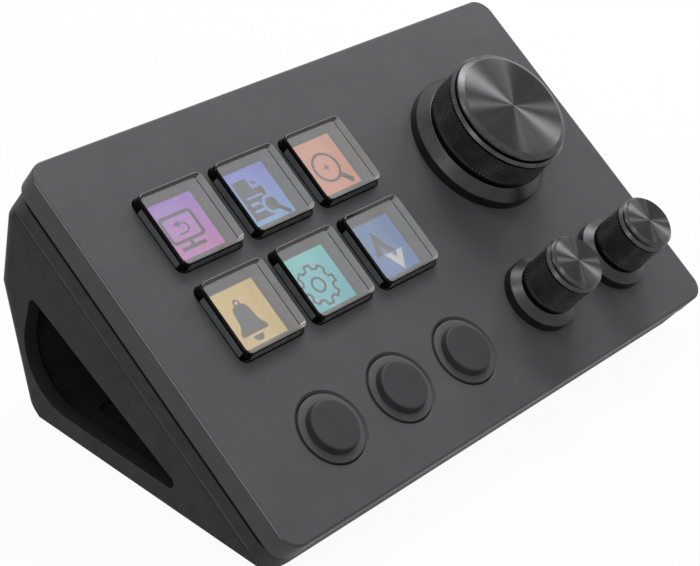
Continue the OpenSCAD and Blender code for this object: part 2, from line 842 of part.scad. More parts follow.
module rotor(k) {
  color("ivory") on_plate() translate(knob_at(k)) translate([0, 0, rotor_top - rotor_t]) linear_extrude(rotor_t)
    difference() {
      circle(r = rotor_r);
      keyed(key_shaft_r, key_shaft_flat, shaft_fit);
      for (i = [0:detents - 1]) rotate(i * 360 / detents) translate([rotor_r, 0]) circle(r = 0.35);
    }
}

module shaft(k) {
  color("gray") on_plate() translate(knob_at(k)) {
    translate([0, 0, shaft_bottom]) linear_extrude(rotor_top + 0.05 + knob_travel - shaft_bottom)
      keyed(key_shaft_r, key_shaft_flat, 0);
    translate([0, 0, rotor_top + 0.05 + knob_travel])
      cylinder(r = shaft_r, h = grip_bottom(k) - rotor_top - 0.05 - knob_travel);
    translate([0, 0, grip_bottom(k) - 0.1]) linear_extrude(shaft_top - grip_bottom(k) + 0.1)
      keyed(shaft_r, shaft_flat, 0);
  }
}

// ---- collars, grips and discs ----

module collar(k) {
  r = collar_r(k);
  color("#2e2e30") on_plate() translate(knob_at(k)) rotate_extrude() {
    rounded_poly(
      [[collar_bore(k), 0], [r, 0], [r - 0.14, collar_wall_h(k)], [grip_r(k) - 0.2, collar_top(k)],
       [collar_bore(k), collar_top(k)]],
      [0, 0.15, 0.35, 0.25, 0.25]
    );
    translate([collar_bore(k), -spigot_h]) square([spigot_r(k) - collar_bore(k), spigot_h + 0.1]);
  }
}

module grip(k) {
  r = grip_r(k);
  low = grip_bottom(k);
  color("#1d1d1f") on_plate() translate(knob_at(k)) difference() {
    union() {
      rotate_extrude() {
        rounded_poly(
          [[skirt_r(k), low], [r - 0.25, low], [r, low + 0.5], [r, rim_top - 0.6], [r - 0.6, rim_top],
           [skirt_r(k), rim_top]],
          [0, 0.15, 0.3, 0.2, 0.2, 0]
        );
        translate([0, skirt_top(k)]) square([neck_r(k), neck_top - skirt_top(k)]);
      }
      if (k == 0) {
        translate([0, 0, low + 0.8]) cylinder(r = hub_r, h = neck_top - low - 0.8);
        for (i = [0:5]) rotate(i * 60) translate([hub_r - 1, -rib_t / 2, low + 2.5])
          cube([skirt_r(k) - hub_r + 1.3, rib_t, skirt_top(k) - low - 2.4]);
      }
    }
    translate([0, 0, low - 1]) linear_extrude(shaft_top - low + 1.2) keyed(shaft_r, shaft_flat, seat_fit);
    translate([0, 0, neck_top - disc_pin_h - 0.1]) cylinder(r = disc_pin_r + seat_fit, h = 2);
  }
}

module disc(k) {
  r = disc_r(k);
  color("#55575a") on_plate() translate(knob_at(k)) rotate_extrude() {
    rounded_poly(
      [[0, neck_top], [r, neck_top], [r, disc_edge], [disc_face_r(k), knob_top], [0, knob_top]],
      [0, 0.1, 0.15, 0.2, 0]
    );
    translate([0, neck_top - disc_pin_h]) square([disc_pin_r, disc_pin_h + 0.1]);
  }
}

// ---- keys and buttons ----

module key_frame(i) {
  base = [key_top_w, key_top_d] + 2 * key_draft * [1, 1];
  top = [key_top_w, key_top_d];
  foot_share = 1 - key_foot_h / key_h;
  shoulder = top + 2 * key_draft * foot_share * [1, 1];
  color("#0b0b0c") on_plate() translate(key_at(i)) difference() {
    union() {
      hull() {
        slab(base, key_corner_r, -0.05, 0, $fn = hull_fn);
        slab(top + 2 * key_draft * key_edge / key_h * [1, 1], key_corner_r, key_h - key_edge - 0.01,
             key_h - key_edge, $fn = hull_fn);
        slab(top - 2 * key_edge * [1, 1], key_corner_r - key_edge, key_h - 0.01, key_h, $fn = hull_fn);
      }
      // sloping feet along the four flats
      rotate([90, 0, 0]) linear_extrude(key_top_d - 2 * key_corner_r, center = true)
        polygon([[-key_plug_w / 2, 0], [key_plug_w / 2, 0], [shoulder.x / 2, key_foot_h],
                 [-shoulder.x / 2, key_foot_h]]);
      rotate([90, 0, 90]) linear_extrude(key_top_w - 2 * key_corner_r, center = true)
        polygon([[-key_plug_d / 2, 0], [key_plug_d / 2, 0], [shoulder.y / 2, key_foot_h],
                 [-shoulder.y / 2, key_foot_h]]);
      slab([key_plug_w, key_plug_d], key_corner_r, key_bottom, 0);
      slab(key_flange, key_window_r + 0.5, key_bottom, key_flange_top);
    }
    slab(lens_size, lens_r, key_bottom - 1, key_h + 1);
  }
}

module key_lens(i) {
  body = lens_size - 2 * seat_fit * [1, 1];
  well = lens_size - 2 * (rim_flat + lens_bevel) * [1, 1];
  color("lightgray", 0.6) on_plate() translate(key_at(i)) difference() {
    union() {
      slab(body, lens_r, lens_bottom, key_h);
      slab(lens_size + 2 * lens_shoulder * [1, 1], lens_r, lens_bottom, key_bottom);
    }
    hull() {
      slab(well, lens_r - 0.3, key_h - lens_recess, key_h - lens_recess + 0.01, $fn = hull_fn);
      slab(well + 2 * lens_bevel * (1 + 0.2 / lens_recess) * [1, 1], lens_r, key_h + 0.19, key_h + 0.2, $fn = hull_fn);
    }
  }
}

module button(c) {
  color("#454547") on_plate() translate([column_x(c), button_row, 0]) {
    rotate_extrude() {
      rounded_poly([[0, -0.2], [button_cap_r + 0.04, -0.2], [button_cap_r - 0.28, button_cap_h], [0, button_cap_h]],
                   [0, 0, 0.4, 0]);
      rounded_poly([[0, key_flange_top - 0.1], [button_disc_r, key_flange_top - 0.1], [button_disc_r, 0], [0, 0]],
                   [0, 0, 0.15, 0]);
      translate([0, key_flange_top - button_flange_t]) square([button_flange_r, button_flange_t]);
      translate([0, button_stem_bottom]) square([button_stem_r, key_flange_top - button_stem_bottom]);
    }
  }
}

top_plate();
shell();
base_cover();
feet();
case_screws();
cover_screws();
board_screws();
panel_screws();
key_board();
key_membrane();
screen_panel();
screen_bracket();
screen_flex();
main_board();
board_chips();
cable_socket();
button_switches();
encoder_bases();
encoder_cases();
for (k = [0:2]) collar(k);
for (k = [0:2]) rotor(k);
for (k = [0:2]) shaft(k);
for (k = [0:2]) grip(k);
for (k = [0:2]) disc(k);
for (i = [0:keys_last]) key_frame(i);
for (i = [0:keys_last]) key_lens(i);
for (c = [0:key_columns - 1]) button(c);
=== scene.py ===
import json
import math

import bmesh
import bpy
from mathutils import Matrix, Vector


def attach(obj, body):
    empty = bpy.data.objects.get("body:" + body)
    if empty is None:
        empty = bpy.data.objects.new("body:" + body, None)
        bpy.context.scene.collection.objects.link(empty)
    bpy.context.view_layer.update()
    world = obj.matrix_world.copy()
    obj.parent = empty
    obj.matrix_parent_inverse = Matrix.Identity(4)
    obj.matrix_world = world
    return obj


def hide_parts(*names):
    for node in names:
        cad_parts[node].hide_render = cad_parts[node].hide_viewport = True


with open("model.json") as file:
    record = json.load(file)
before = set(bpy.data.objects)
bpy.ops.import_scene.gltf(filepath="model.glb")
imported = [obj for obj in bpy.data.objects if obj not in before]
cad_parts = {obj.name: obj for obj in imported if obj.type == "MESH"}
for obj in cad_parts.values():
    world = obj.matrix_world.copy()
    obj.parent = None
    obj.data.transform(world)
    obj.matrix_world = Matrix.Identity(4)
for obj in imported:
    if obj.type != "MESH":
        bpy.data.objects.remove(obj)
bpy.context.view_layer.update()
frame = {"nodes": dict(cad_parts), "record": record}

nodes = frame["nodes"]
scene = bpy.context.scene
print("frame loaded,", len(nodes), "nodes")

# sizes below are millimetres on the plate: x right, y up the slope, z out of its face
plateLie = {"tilt": 31.7, "frontY": -39.50854, "frontZ": 9.85, "unit": 0.001}
plateTurn = Matrix.Rotation(math.radians(plateLie["tilt"]), 4, "X")
onPlate = (
    Matrix.Translation(Vector((0, plateLie["frontY"], plateLie["frontZ"])) * plateLie["unit"])
    @ plateTurn
    @ Matrix.Scale(plateLie["unit"], 4)
)
# the plate's origin in the turned coordinates of the finishes, in metres
plateShift = plateTurn.inverted() @ onPlate.translation


# finishes

def paint(code, alpha=1.0):
    # a screen colour such as "8a8a8a" as linear light
    parts = [int(code[i:i + 2], 16) / 255 for i in (0, 2, 4)]
    return [p / 12.92 if p <= 0.04045 else ((p + 0.055) / 1.055) ** 2.4 for p in parts] + [alpha]


def addNode(tree, kind, **values):
    # values go to the sockets of those names, or else to the node's own settings
    node = tree.nodes.new("ShaderNode" + kind)
    for key, value in values.items():
        if key in node.inputs:
            node.inputs[key].default_value = value
        else:
            setattr(node, key, value)
    return node


noiseSpan = (0.3, 0.7)    # most of a noise lies between these


class Finish:
    # a material with the few node chains that the finishes here share
    def __init__(self, name, rough=0.5, metal=0.0, level=0.5):
        self.material = bpy.data.materials.new(name)
        self.material.use_nodes = True
        self.tree = self.material.node_tree
        self.shader = self.tree.nodes["Principled BSDF"]
        self.set("Roughness", rough)
        self.set("Metallic", metal)
        self.set("Specular IOR Level", level)
        self.coords = None

    def set(self, socket, value):
        self.shader.inputs[socket].default_value = value

    def add(self, kind, **values):
        return addNode(self.tree, kind, **values)

    def join(self, start, end):
        self.tree.links.new(start, end)

    def place(self):
        # object coordinates turned so that z is square to the plate
        if self.coords is None:
            spot = self.add("TexCoord")
            turn = self.add("Mapping", Rotation=(-math.radians(plateLie["tilt"]), 0, 0))
            self.join(spot.outputs["Object"], turn.inputs["Vector"])
            self.coords = turn.outputs["Vector"]
        return self.coords

    def noise(self, size, detail=3.0):
        # size is the width of one mottle in millimetres
        node = self.add("TexNoise", Scale=1.0 / (size * plateLie["unit"]), Detail=detail)
        self.join(self.place(), node.inputs["Vector"])
        return node.outputs["Fac"]

    def tint(self, factor, dark, light, low=0.35, high=0.65):
        ramp = self.add("ValToRGB")
        ramp.color_ramp.elements[0].position = low
        ramp.color_ramp.elements[1].position = high
        ramp.color_ramp.elements[0].color = paint(dark)
        ramp.color_ramp.elements[1].color = paint(light)
        self.join(factor, ramp.inputs["Fac"])
        self.join(ramp.outputs["Color"], self.shader.inputs["Base Color"])
        return ramp

    def remap(self, value, start, end, low=0.0, high=1.0):
        # start to end becomes low to high
        spans = {"From Min": start, "From Max": end, "To Min": low, "To Max": high}
        spread = self.add("MapRange", **spans)
        self.join(value, spread.inputs["Value"])
        return spread.outputs["Result"]

    def dull(self, factor, low, high):
        self.join(self.remap(factor, *noiseSpan, low, high), self.shader.inputs["Roughness"])

    def maths(self, value, factor=1.0, more=0.0, operation="MULTIPLY_ADD"):
        # value times factor plus more, or another operation on value and factor
        node = self.add("Math", operation=operation)
        for socket, item in zip(node.inputs, (value, factor, more)):
            if isinstance(item, bpy.types.NodeSocket):
                self.join(item, socket)
            else:
                socket.default_value = item
        return node.outputs["Value"]

    def overlay(self, base, line):
        # a painted line of highlight on the plate and of shade on the shell: another tone where the place lies
        # in both ranges, in millimetres on the plate
        parts = self.add("SeparateXYZ")
        self.join(self.place(), parts.inputs["Vector"])
        fromMiddle = self.maths(parts.outputs["X"], operation="ABSOLUTE")
        ranges = ((fromMiddle, line["x"], 0.0), (parts.outputs["Z"], line["z"], plateShift.z))
        inside = 1.0
        for socket, (low, high), shift in ranges:
            above = self.maths(socket, low * plateLie["unit"] + shift, operation="GREATER_THAN")
            below = self.maths(socket, high * plateLie["unit"] + shift, operation="LESS_THAN")
            both = self.maths(above, below, operation="MULTIPLY")
            inside = self.maths(both, inside, operation="MULTIPLY")
        mix = self.add("Mix", data_type="RGBA")
        mix.inputs["B"].default_value = paint(line["tone"])
        self.join(inside, mix.inputs["Factor"])
        self.join(base, mix.inputs["A"])
        self.join(mix.outputs["Result"], self.shader.inputs["Base Color"])

    def relief(self, factor, depth, strength=1.0):
        # depth in millimetres
        bump = self.add("Bump", Strength=strength, Distance=depth * plateLie["unit"])
        self.join(factor, bump.inputs["Height"])
        self.join(bump.outputs["Normal"], self.shader.inputs["Normal"])


mouldedLook = {"level": 0.5, "glossMottle": 0.37, "glossDetail": 4.0, "grainDetail": 2.0}


def moulded(name, look):
    # plastics, rubber and plain metals: mottled tone, uneven gloss and a fine grain
    shared = mouldedLook
    finish = Finish(name, look["rough"][0], look.get("metal", 0.0), look.get("level", shared["level"]))
    ramp = finish.tint(finish.noise(look["mottle"]), *look["tone"])
    # the plate's painted edge highlight and the shell's painted shade line
    if "line" in look:
        finish.overlay(ramp.outputs["Color"], look["line"])
    finish.dull(finish.noise(look["mottle"] * shared["glossMottle"], shared["glossDetail"]), *look["rough"])
    finish.relief(finish.noise(look["grain"], shared["grainDetail"]), look["depth"])
    return finish.material


# mottle, grain, depth and the ranges of the painted highlight and shade lines are in millimetres
looks = {
    "plate": {"tone": ("545456", "59595b"), "rough": (0.52, 0.6),
              "mottle": 9, "grain": 0.22, "depth": 0.006, "level": 0.3,
              # a painted highlight along the plate's side edges
              "line": {"tone": "9a9a9b", "x": (66.8, 67.2), "z": (-0.26, 0.2)}},
    "shell": {"tone": ("2d2d2e", "313132"), "rough": (0.55, 0.66),
              "mottle": 7, "grain": 0.3, "depth": 0.014, "level": 0.25,
              # a painted shade line over the light caught by the ledge low on the shell's sides
              "line": {"tone": "1a1a1b", "x": (65.0, 66.3), "z": (-11.8, -11.2)}},
    "base": {"tone": ("2a2a2c", "2f2f31"), "rough": (0.6, 0.7),
             "mottle": 6, "grain": 0.35, "depth": 0.02, "level": 0.3},
    "rubber": {"tone": ("1a1a1b", "202021"), "rough": (0.8, 0.9),
               "mottle": 2, "grain": 0.2, "depth": 0.02, "level": 0.3},
    "screw": {"tone": ("8c8c8a", "a6a6a2"), "rough": (0.3, 0.42),
              "mottle": 1.2, "grain": 0.15, "depth": 0.01, "metal": 1.0},
    "membrane": {"tone": ("bdbdb8", "cfcfca"), "rough": (0.5, 0.6),
                 "mottle": 3, "grain": 0.3, "depth": 0.01},
    "bracket": {"tone": ("8f9294", "adb0b2"), "rough": (0.3, 0.45),
                "mottle": 2.5, "grain": 0.4, "depth": 0.01, "metal": 1.0},
    "flex": {"tone": ("8a5418", "a06a24"), "rough": (0.35, 0.45),
             "mottle": 2, "grain": 0.5, "depth": 0.01},
    "chip": {"tone": ("181819", "222224"), "rough": (0.55, 0.7),
             "mottle": 1.5, "grain": 0.12, "depth": 0.01},
    "contact": {"tone": ("a8a49a", "c2beb2"), "rough": (0.25, 0.38),
                "mottle": 1.5, "grain": 0.2, "depth": 0.006, "metal": 1.0},
    "shaft": {"tone": ("8a8a88", "9d9d9a"), "rough": (0.3, 0.4),
              "mottle": 1, "grain": 0.12, "depth": 0.006, "metal": 1.0},
    "rotor": {"tone": ("d9d2bd", "e6dfca"), "rough": (0.4, 0.5),
              "mottle": 1.5, "grain": 0.2, "depth": 0.008},
    "switch": {"tone": ("2b2b2c", "353536"), "rough": (0.45, 0.6),
               "mottle": 1.2, "grain": 0.15, "depth": 0.008},
    "encoderBase": {"tone": ("3a2c1c", "463624"), "rough": (0.5, 0.6),
                    "mottle": 1.2, "grain": 0.15, "depth": 0.008},
    "button": {"tone": ("353537", "3a3a3c"), "rough": (0.5, 0.58),
               "mottle": 4, "grain": 0.2, "depth": 0.006, "level": 0.3},
    "keyGloss": {"tone": ("030304", "060607"), "rough": (0.06, 0.1),
                 "mottle": 5, "grain": 0.5, "depth": 0.001, "level": 0.22},
    "keyFootPaintedReflection": {"tone": ("707173", "7c7d7f"), "rough": (0.2, 0.3),
                 "mottle": 3, "grain": 0.5, "depth": 0.002},
    "keyRimPaintedHighlight": {"tone": ("a6a6a6", "b4b4b4"), "rough": (0.1, 0.16),
               "mottle": 4, "grain": 0.5, "depth": 0.001},
    "keyStripPaintedLight": {"tone": ("959596", "9d9d9e"), "rough": (0.12, 0.18),
                 "mottle": 4, "grain": 0.5, "depth": 0.001},
    "keyShade": {"tone": ("2a2a2b", "343435"), "rough": (0.1, 0.16),
                 "mottle": 4, "grain": 0.5, "depth": 0.001},
    "screen": {"tone": ("040405", "070708"), "rough": (0.12, 0.18),
               "mottle": 9, "grain": 0.4, "depth": 0.001},
    "brightMetal": {"tone": ("404041", "4a4a4b"), "rough": (0.26, 0.32),
                    "mottle": 2, "grain": 0.1, "depth": 0.002, "metal": 1.0},
    "collar": {"tone": ("353536", "3c3c3d"), "rough": (0.3, 0.38),
               "mottle": 3, "grain": 0.12, "depth": 0.003, "metal": 0.8},
    "grip": {"tone": ("242425", "2e2e2f"), "rough": (0.28, 0.36),
             "mottle": 3, "grain": 0.1, "depth": 0.003, "metal": 0.9},
}
finishes = {name: moulded(name, look) for name, look in looks.items()}


boardLook = {
    "rough": 0.35, "tracks": 420.0, "lacquer": "0f3d24", "copper": "1d5a36", "tin": "9a9a86",
    # how far out in a cell the copper and the tin start
    "edge": (0.42, 0.46), "vias": (0.92, 0.95), "depth": 0.03, "strength": 0.4,
}


def circuitBoard():
    # green lacquer over branching copper, with tinned vias
    look = boardLook
    finish = Finish("circuitBoard", look["rough"])
    tracks = finish.add("TexVoronoi", distance="CHEBYCHEV", feature="F1", Scale=look["tracks"])
    finish.join(finish.place(), tracks.inputs["Vector"])
    ramp = finish.tint(tracks.outputs["Distance"], look["lacquer"], look["copper"], *look["edge"])
    for start, tone in zip(look["vias"], (look["copper"], look["tin"])):
        ramp.color_ramp.elements.new(start).color = paint(tone)
    finish.relief(tracks.outputs["Distance"], look["depth"], look["strength"])
    return finish.material


finishes["board"] = circuitBoard()

acrylic = {
    "rough": 0.02, "bend": 1.49, "haze": 0.27, "tones": ("f4f4f4", "ffffff"), "bloom": 6.0, "span": (0.2, 0.8),
}


def clearAcrylic(name, haze):
    # clear plastic with a slight milky bloom
    look = acrylic
    finish = Finish(name, look["rough"])
    finish.set("IOR", look["bend"])
    finish.set("Transmission Weight", 1 - haze)
    finish.tint(finish.noise(look["bloom"]), *look["tones"], *look["span"])
    return finish.material


finishes["keyTop"] = clearAcrylic("keyTop", acrylic["haze"])
finishes["keyUnder"] = clearAcrylic("keyUnder", 0.0)

# a node wears the finish named here, or else the one with its slot's name
wearByNode = {"button_switches": "switch", "encoder_bases": "encoderBase", "encoder_cases": "contact"}
wearBySlot = {"disc": "grip", "key_black": "keyGloss", "key_clear": "keyTop"}
slotOfNode = {part["node"]: part["material_slot"] for part in frame["record"]["subparts"]}
for name in nodes:
    slot = slotOfNode[name]
    mesh = nodes[name].data
    mesh.materials.clear()
    mesh.materials.append(finishes[wearByNode.get(name, wearBySlot.get(slot, slot))])
print("finishes on", len(nodes), "nodes")


# modelling helpers

weldReach = 0.0005    # points closer than this become one, in millimetres


def finishPiece(bm, name, body, coats, standsFor=(), place=onPlate, sharp=35):
    # puts the mesh on the plate and makes a piece of it
    bm.transform(place)
    bmesh.ops.recalc_face_normals(bm, faces=bm.faces)
    mesh = bpy.data.meshes.new(name)
    bm.to_mesh(mesh)
    bm.free()
    for coat in coats:
        mesh.materials.append(coat if isinstance(coat, bpy.types.Material) else finishes[coat])
    mesh.shade_smooth()
    mesh.set_sharp_from_angle(angle=math.radians(sharp))
    piece = bpy.data.objects.new(name, mesh)
    scene.collection.objects.link(piece)
    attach(piece, body)
    if standsFor:
        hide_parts(*standsFor)
    return piece


def spinProfile(bm, points, steps):
    # full turn about z of an open profile whose ends lie on the axis or meet each other
    verts = [bm.verts.new((r, 0, z)) for r, z in points]
    edges = [bm.edges.new(pair) for pair in zip(verts, verts[1:])]
    bmesh.ops.spin(bm, geom=verts + edges, cent=(0, 0, 0), axis=(0, 0, 1), dvec=(0, 0, 0),
                   angle=2 * math.pi, steps=steps, use_merge=True)
    bmesh.ops.remove_doubles(bm, verts=bm.verts, dist=weldReach)


def moveRing(verts, before, after):
    # from one rounded rectangle (width, depth, radius, level, shift x, shift y) to the next
    w, d, r, low, sx, sy = before
    nextW, nextD, nextR, level, nextX, nextY = after
    for v in verts:
        x, y = v.co.x - sx, v.co.y - sy
        x = math.copysign((abs(x) - w / 2 + r) * nextR / r + nextW / 2 - nextR, x)
        y = math.copysign((abs(y) - d / 2 + r) * nextR / r + nextD / 2 - nextR, y)
        v.co = (x + nextX, y + nextY, level)


def loftRings(bm, rings, corner=10, closed=False, capCoats=(0, 0)):
    # walls between rounded rectangles; returns the faces of each band in turn
    rings = [tuple(ring) + (0, 0) * (len(ring) == 4) for ring in rings]
    first, r = rings[0], rings[0][2]
    made = bmesh.ops.create_circle(bm, segments=4 * corner, radius=r)["verts"]
    turn = Matrix.Rotation(math.pi / 4 / corner, 3, "Z")
    bmesh.ops.rotate(bm, verts=made, cent=(0, 0, 0), matrix=turn)
    moveRing(made, (2 * r, 2 * r, r, 0, 0, 0), first)
    edges = list({e for v in made for e in v.link_edges})
    opening, start, bands = edges, made, []
    for before, after in zip(rings, rings[1:] + ([first] if closed else [])):
        grown = bmesh.ops.extrude_edge_only(bm, edges=edges)["geom"]
        made = [g for g in grown if isinstance(g, bmesh.types.BMVert)]
        edges = [g for g in grown if isinstance(g, bmesh.types.BMEdge)]
        moveRing(made, before, after)
        bands.append(list({f for e in edges for f in e.link_faces}))
    if closed:
        bmesh.ops.remove_doubles(bm, verts=start + made, dist=weldReach)
        return bands
    for loop, coat in zip((opening, edges), capCoats):
        for face in bmesh.ops.contextual_create(bm, geom=loop)["faces"]:
            face.material_index = coat
    return bands


def coatSides(faces, coats, shift=(0, 0)):
    # coats are for the right, back, left and front of a band round a rectangle
    for face in faces:
        middle = face.calc_center_median()
        x, y = middle.x - shift[0], middle.y - shift[1]
        if abs(x) > abs(y):
            face.material_index = coats[0] if x > 0 else coats[2]
        else:
            face.material_index = coats[1] if y > 0 else coats[3]


def softened(start, end, steps=4):
    # quarter turn between two (size, level) corners, as extra steps along the way
    out = []
    for i in range(steps + 1):
        a = math.pi / 2 * i / steps
        size = start[0] + (end[0] - start[0]) * (1 - math.cos(a))
        out.append((size, start[1] + (end[1] - start[1]) * math.sin(a)))
    return out


def extrudeFace(bm, points, reach):
    # a solid from a flat outline and the vector it grows by; returns all its points
    verts = [bm.verts.new(point) for point in points]
    edges = [bm.edges.new(pair) for pair in zip(verts, verts[1:] + verts[:1])]
    faces = bmesh.ops.contextual_create(bm, geom=edges)["faces"]
    grown = bmesh.ops.extrude_face_region(bm, geom=faces, use_keep_orig=True)["geom"]
    upper = [g for g in grown if isinstance(g, bmesh.types.BMVert)]
    bmesh.ops.translate(bm, verts=upper, vec=reach)
    return verts + upper


def shiftTo(bm, place):
    bm.transform(Matrix.Translation((*place, 0)))


# keys

keyLook = {
    "columns": (-43.4, -23.9, -4.4), "rows": (61.6, 41.6), "top": 16.0, "height": 2.3, "draft": 0.2,
    "corner": 1.5, "edge": 0.15, "bottom": -2.8, "lip": 0.3, "sunk": 0.02,
    # flange: width, depth, radius and shift up the plate; plug: width, depth, shift; bore: width, radius
    "flange": (18.5, 18.7, 2.25, -0.5), "flangeTop": -2.2, "plug": (16.7, 16.45, -0.175), "bore": (15.4, 1.2),
    # sloping feet: height, how far they reach into the shell, and both ends of each along its flat
    "foot": 1.25, "footIn": 0.3, "footReach": ((-6.4, 6.4), (-6.4, 6.4), (-6.9, 5.5), (-6.4, 6.4)),
    "lens": (15.34, 1.2), "lensFoot": (15.0, 16.0, -0.5), "lensBottom": -4.1, "lensTop": 15.84,
    # rim sets the top edge that carries a painted highlight; line is the width of a painted shade line along
    # the field's right edge
    "rim": 0.12, "crown": 0.05, "line": 0.28, "recess": 0.5,
    # sunk field: width, depth, radius and its two shifts
    "field": (14.2, 14.9, 0.9, -0.5, -0.25),
    # the plate's opening, what the trim leaves of it, and the plate's thickness
    "window": (17.2, 17.6, 1.75, -0.5), "windowSeen": (17.2, 16.95, 1.75, -0.175), "plate": 2.0,
    "trimOver": 0.1, "trimSunk": 0.008,
}
keyPlaces = [(x, y) for y in keyLook["rows"] for x in keyLook["columns"]]


def modelKeyShell(number, place):
    look = keyLook
    top, h, draft, r = look["top"], look["height"] - look["lip"], look["draft"], look["corner"]
    edge, sunk = look["edge"], look["sunk"]
    flangeW, flangeD, flangeR, flangeShift = look["flange"]
    plugW, plugD, plugShift = look["plug"]
    boreW, boreR = look["bore"]
    base = top + 2 * draft
    rings = [
        (flangeW, flangeD, flangeR, look["bottom"], 0, flangeShift),
        (flangeW, flangeD, flangeR, look["flangeTop"], 0, flangeShift),
        (plugW, plugD, r, look["flangeTop"], 0, plugShift),
        (plugW, plugD, r, -sunk, 0, plugShift),
        (base, base, r, 0.0),
    ]
    for cut, level in softened((0, h - edge), (edge, h)):
        rings.append((top - 2 * cut, top - 2 * cut, r - cut, level))
    rings += [(boreW, boreW, boreR, h), (boreW, boreW, boreR, look["bottom"])]
    bm = bmesh.new()
    loftRings(bm, rings, closed=True)
    # sloping feet along the flats, their grey a painted reflection
    shoulder = top / 2 + draft * (1 - look["foot"] / look["height"])
    outs = (plugW / 2, plugD / 2 + plugShift, plugW / 2, plugD / 2 - plugShift)
    for turn, (out, (start, end)) in enumerate(zip(outs, look["footReach"])):
        wedge = bmesh.ops.create_cube(bm, size=1)["verts"]
        for v in wedge:
            outer, upper = v.co.x > 0, v.co.z > 0
            if outer:
                v.co.x = shoulder + sunk if upper else out
            else:
                v.co.x = shoulder - look["footIn"]
            v.co.y = (end if v.co.y > 0 else start) * (-1 if turn == 2 else 1)
            v.co.z = look["foot"] if upper else -sunk
        quarter = Matrix.Rotation(turn * math.pi / 2, 3, "Z")
        bmesh.ops.rotate(bm, verts=wedge, cent=(0, 0, 0), matrix=quarter)
        for face in {f for v in wedge for f in v.link_faces}:
            face.material_index = 1
    shiftTo(bm, place)
    finishPiece(bm, f"keyShell{number}", f"key_{number}", ["keyGloss", "keyFootPaintedReflection"],
                [f"key_frame_{number}"])


def modelKeyLens(number, place):
    # the clear key top: it flares over the shell's rim and falls away to a sunk field
    look = keyLook
    (w, r), top, h = look["lens"], look["lensTop"], look["height"]
    footW, footD, footShift = look["lensFoot"]
    fieldW, fieldD, fieldR, fieldX, fieldY = look["field"]
    flare, rim, line, crown = (top - w) / 2, look["rim"], look["line"], look["crown"]
    low = h - look["recess"]
    rings = [
        (footW, footD, r, look["lensBottom"], 0, footShift),
        (footW, footD, r, look["bottom"], 0, footShift),
        (w, w, r, look["bottom"]),
        (w, w, r, h - look["lip"]),
        (top, top, r + flare, h - look["lip"]),
        (top, top, r + flare, h - crown),
        (top - 2 * crown, top - 2 * crown, r + flare - crown, h),
        (top - 2 * rim, top - 2 * rim, r + flare - rim, h),
        (fieldW, fieldD, fieldR, low, fieldX, fieldY),
        (fieldW - 2 * line, fieldD - 2 * line, fieldR - line, low, fieldX, fieldY),
    ]
    # coats: clear, black paint, clear underside, then a painted highlight, painted shade and a painted lit
    # strip
    coats = ["keyTop", "keyGloss", "keyUnder", "keyRimPaintedHighlight", "keyShade", "keyStripPaintedLight"]
    clear, black, under, bright, shade, strip = range(len(coats))
    bm = bmesh.new()
    bands = loftRings(bm, rings, capCoats=(under, clear))
    for band in bands[:5]:
        coatSides(band, [black] * 4)
    # painted highlight: the outer crown and the rim are bright on the right, back and front, and black on the
    # left
    for band in bands[5:7]:
        coatSides(band, (bright, bright, black, bright))
    # the bevel down to the field: a painted lit strip on the right, painted shade at the back, black on the
    # left and a painted highlight at the front
    coatSides(bands[7], (strip, shade, black, bright), (fieldX, fieldY))
    # a painted shade line along the sunk field's right edge
    coatSides(bands[8], (shade, clear, clear, clear), (fieldX, fieldY))
    shiftTo(bm, place)
    finishPiece(bm, f"keyWindow{number}", f"key_{number}", coats,
                [f"key_lens_{number}"], sharp=15)


def modelWindowTrim():
    # closes each opening of the plate down to the key's own clearance
    look = keyLook
    outW, outD, outR, outShift = look["window"]
    inW, inD, inR, inShift = look["windowSeen"]
    over, top, bottom = look["trimOver"], -look["trimSunk"], -look["plate"]
    outer, inner = (outW + over, outD + over, outR), (inW, inD, inR)
    rings = [
        (*outer, bottom, 0, outShift), (*outer, top, 0, outShift),
        (*inner, top, 0, inShift), (*inner, bottom, 0, inShift),
    ]
    bm = bmesh.new()
    for place in keyPlaces:
        trim = bmesh.new()
        loftRings(trim, rings, closed=True)
        shiftTo(trim, place)
        part = bpy.data.meshes.new("trim")
        trim.to_mesh(part)
        trim.free()
        bm.from_mesh(part)
        bpy.data.meshes.remove(part)
    finishPiece(bm, "windowTrim", "base", ["plate"])


for number, place in enumerate(keyPlaces, 1):
    modelKeyShell(number, place)
    modelKeyLens(number, place)
modelWindowTrim()
print("keys modelled:", len(keyPlaces))


# pictures on the display

pictureLook = {
    "size": (13.0, 12.2), "shift": ((0.5, 0.5), (0.5, 0.05)), "level": -4.99, "thick": 0.018,
    "rough": 0.3, "strength": 1.0,
    # tone at the front edge and at the back edge of each
    "tones": (("b55ca6", "8959bc"), ("5c8fbf", "5d66c4"), ("c87c59", "c58164"),
              ("c6a760", "c8a85d"), ("48a6b4", "55b5b4"), ("38629f", "366298")),
    "pale": ("b4b4b2", "b8b8b6"),
}
litCoat, darkCoat, paleCoat = range(3)


def litFinish(name, tones, low, high):
    # a lit field whose tone runs up the slope from low to high, in millimetres
    finish = Finish(name, pictureLook["rough"])
    finish.set("Base Color", (0, 0, 0, 1))
    parts = finish.add("SeparateXYZ")
    finish.join(finish.place(), parts.inputs["Vector"])
    start, end = (edge * plateLie["unit"] + plateShift.y for edge in (low, high))
    ramp = finish.add("ValToRGB")
    for stop, tone in zip(ramp.color_ramp.elements, tones):
        stop.color = paint(tone)
    finish.join(finish.remap(parts.outputs["Y"], start, end), ramp.inputs["Fac"])
    finish.join(ramp.outputs["Color"], finish.shader.inputs["Emission Color"])
    finish.set("Emission Strength", pictureLook["strength"])
    return finish.material


